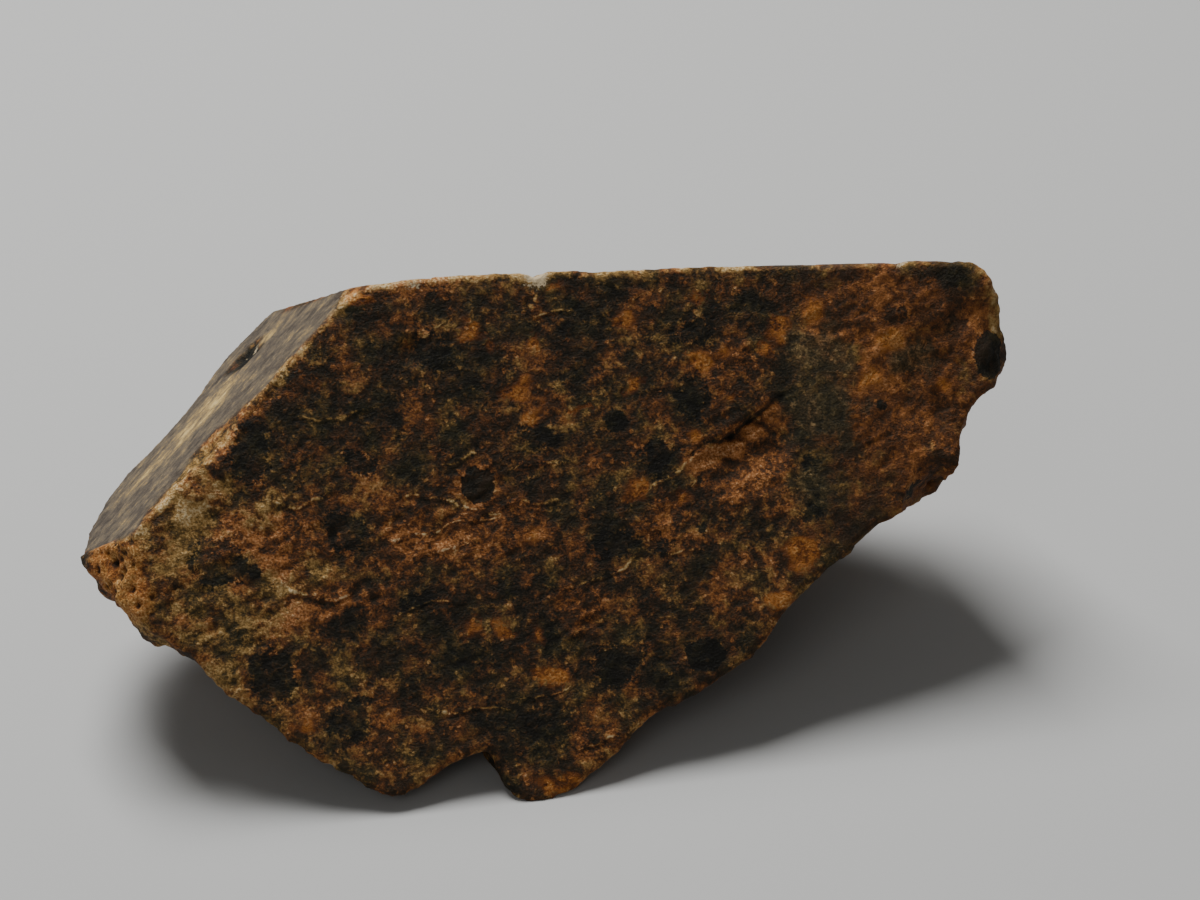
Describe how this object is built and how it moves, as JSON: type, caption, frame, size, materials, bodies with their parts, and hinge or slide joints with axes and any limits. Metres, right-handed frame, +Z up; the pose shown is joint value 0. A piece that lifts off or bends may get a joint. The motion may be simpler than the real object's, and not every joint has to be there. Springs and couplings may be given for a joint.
{
  "type": "chondrite meteorite",
  "caption": "Chunk of chondrite meteorite with flat sawn faces in front, on top and at the left end, and a rough weathered back, lying on a small flat spot.",
  "frame": {"origin": "middle of the footprint box, on the ground plane that the stone lies on", "axes": "+X along the stone's length, towards its broken right end; -Y towards the side that the big sawn face looks to; +Z up"},
  "size_m": [0.0396, 0.0214, 0.0177],
  "materials": {
    "stone": "matt, sawn on the flat faces and rough on the weathered skin"
  },
  "bodies": {
    "root": {"stone": "stone"}
  },
  "joints": []
}
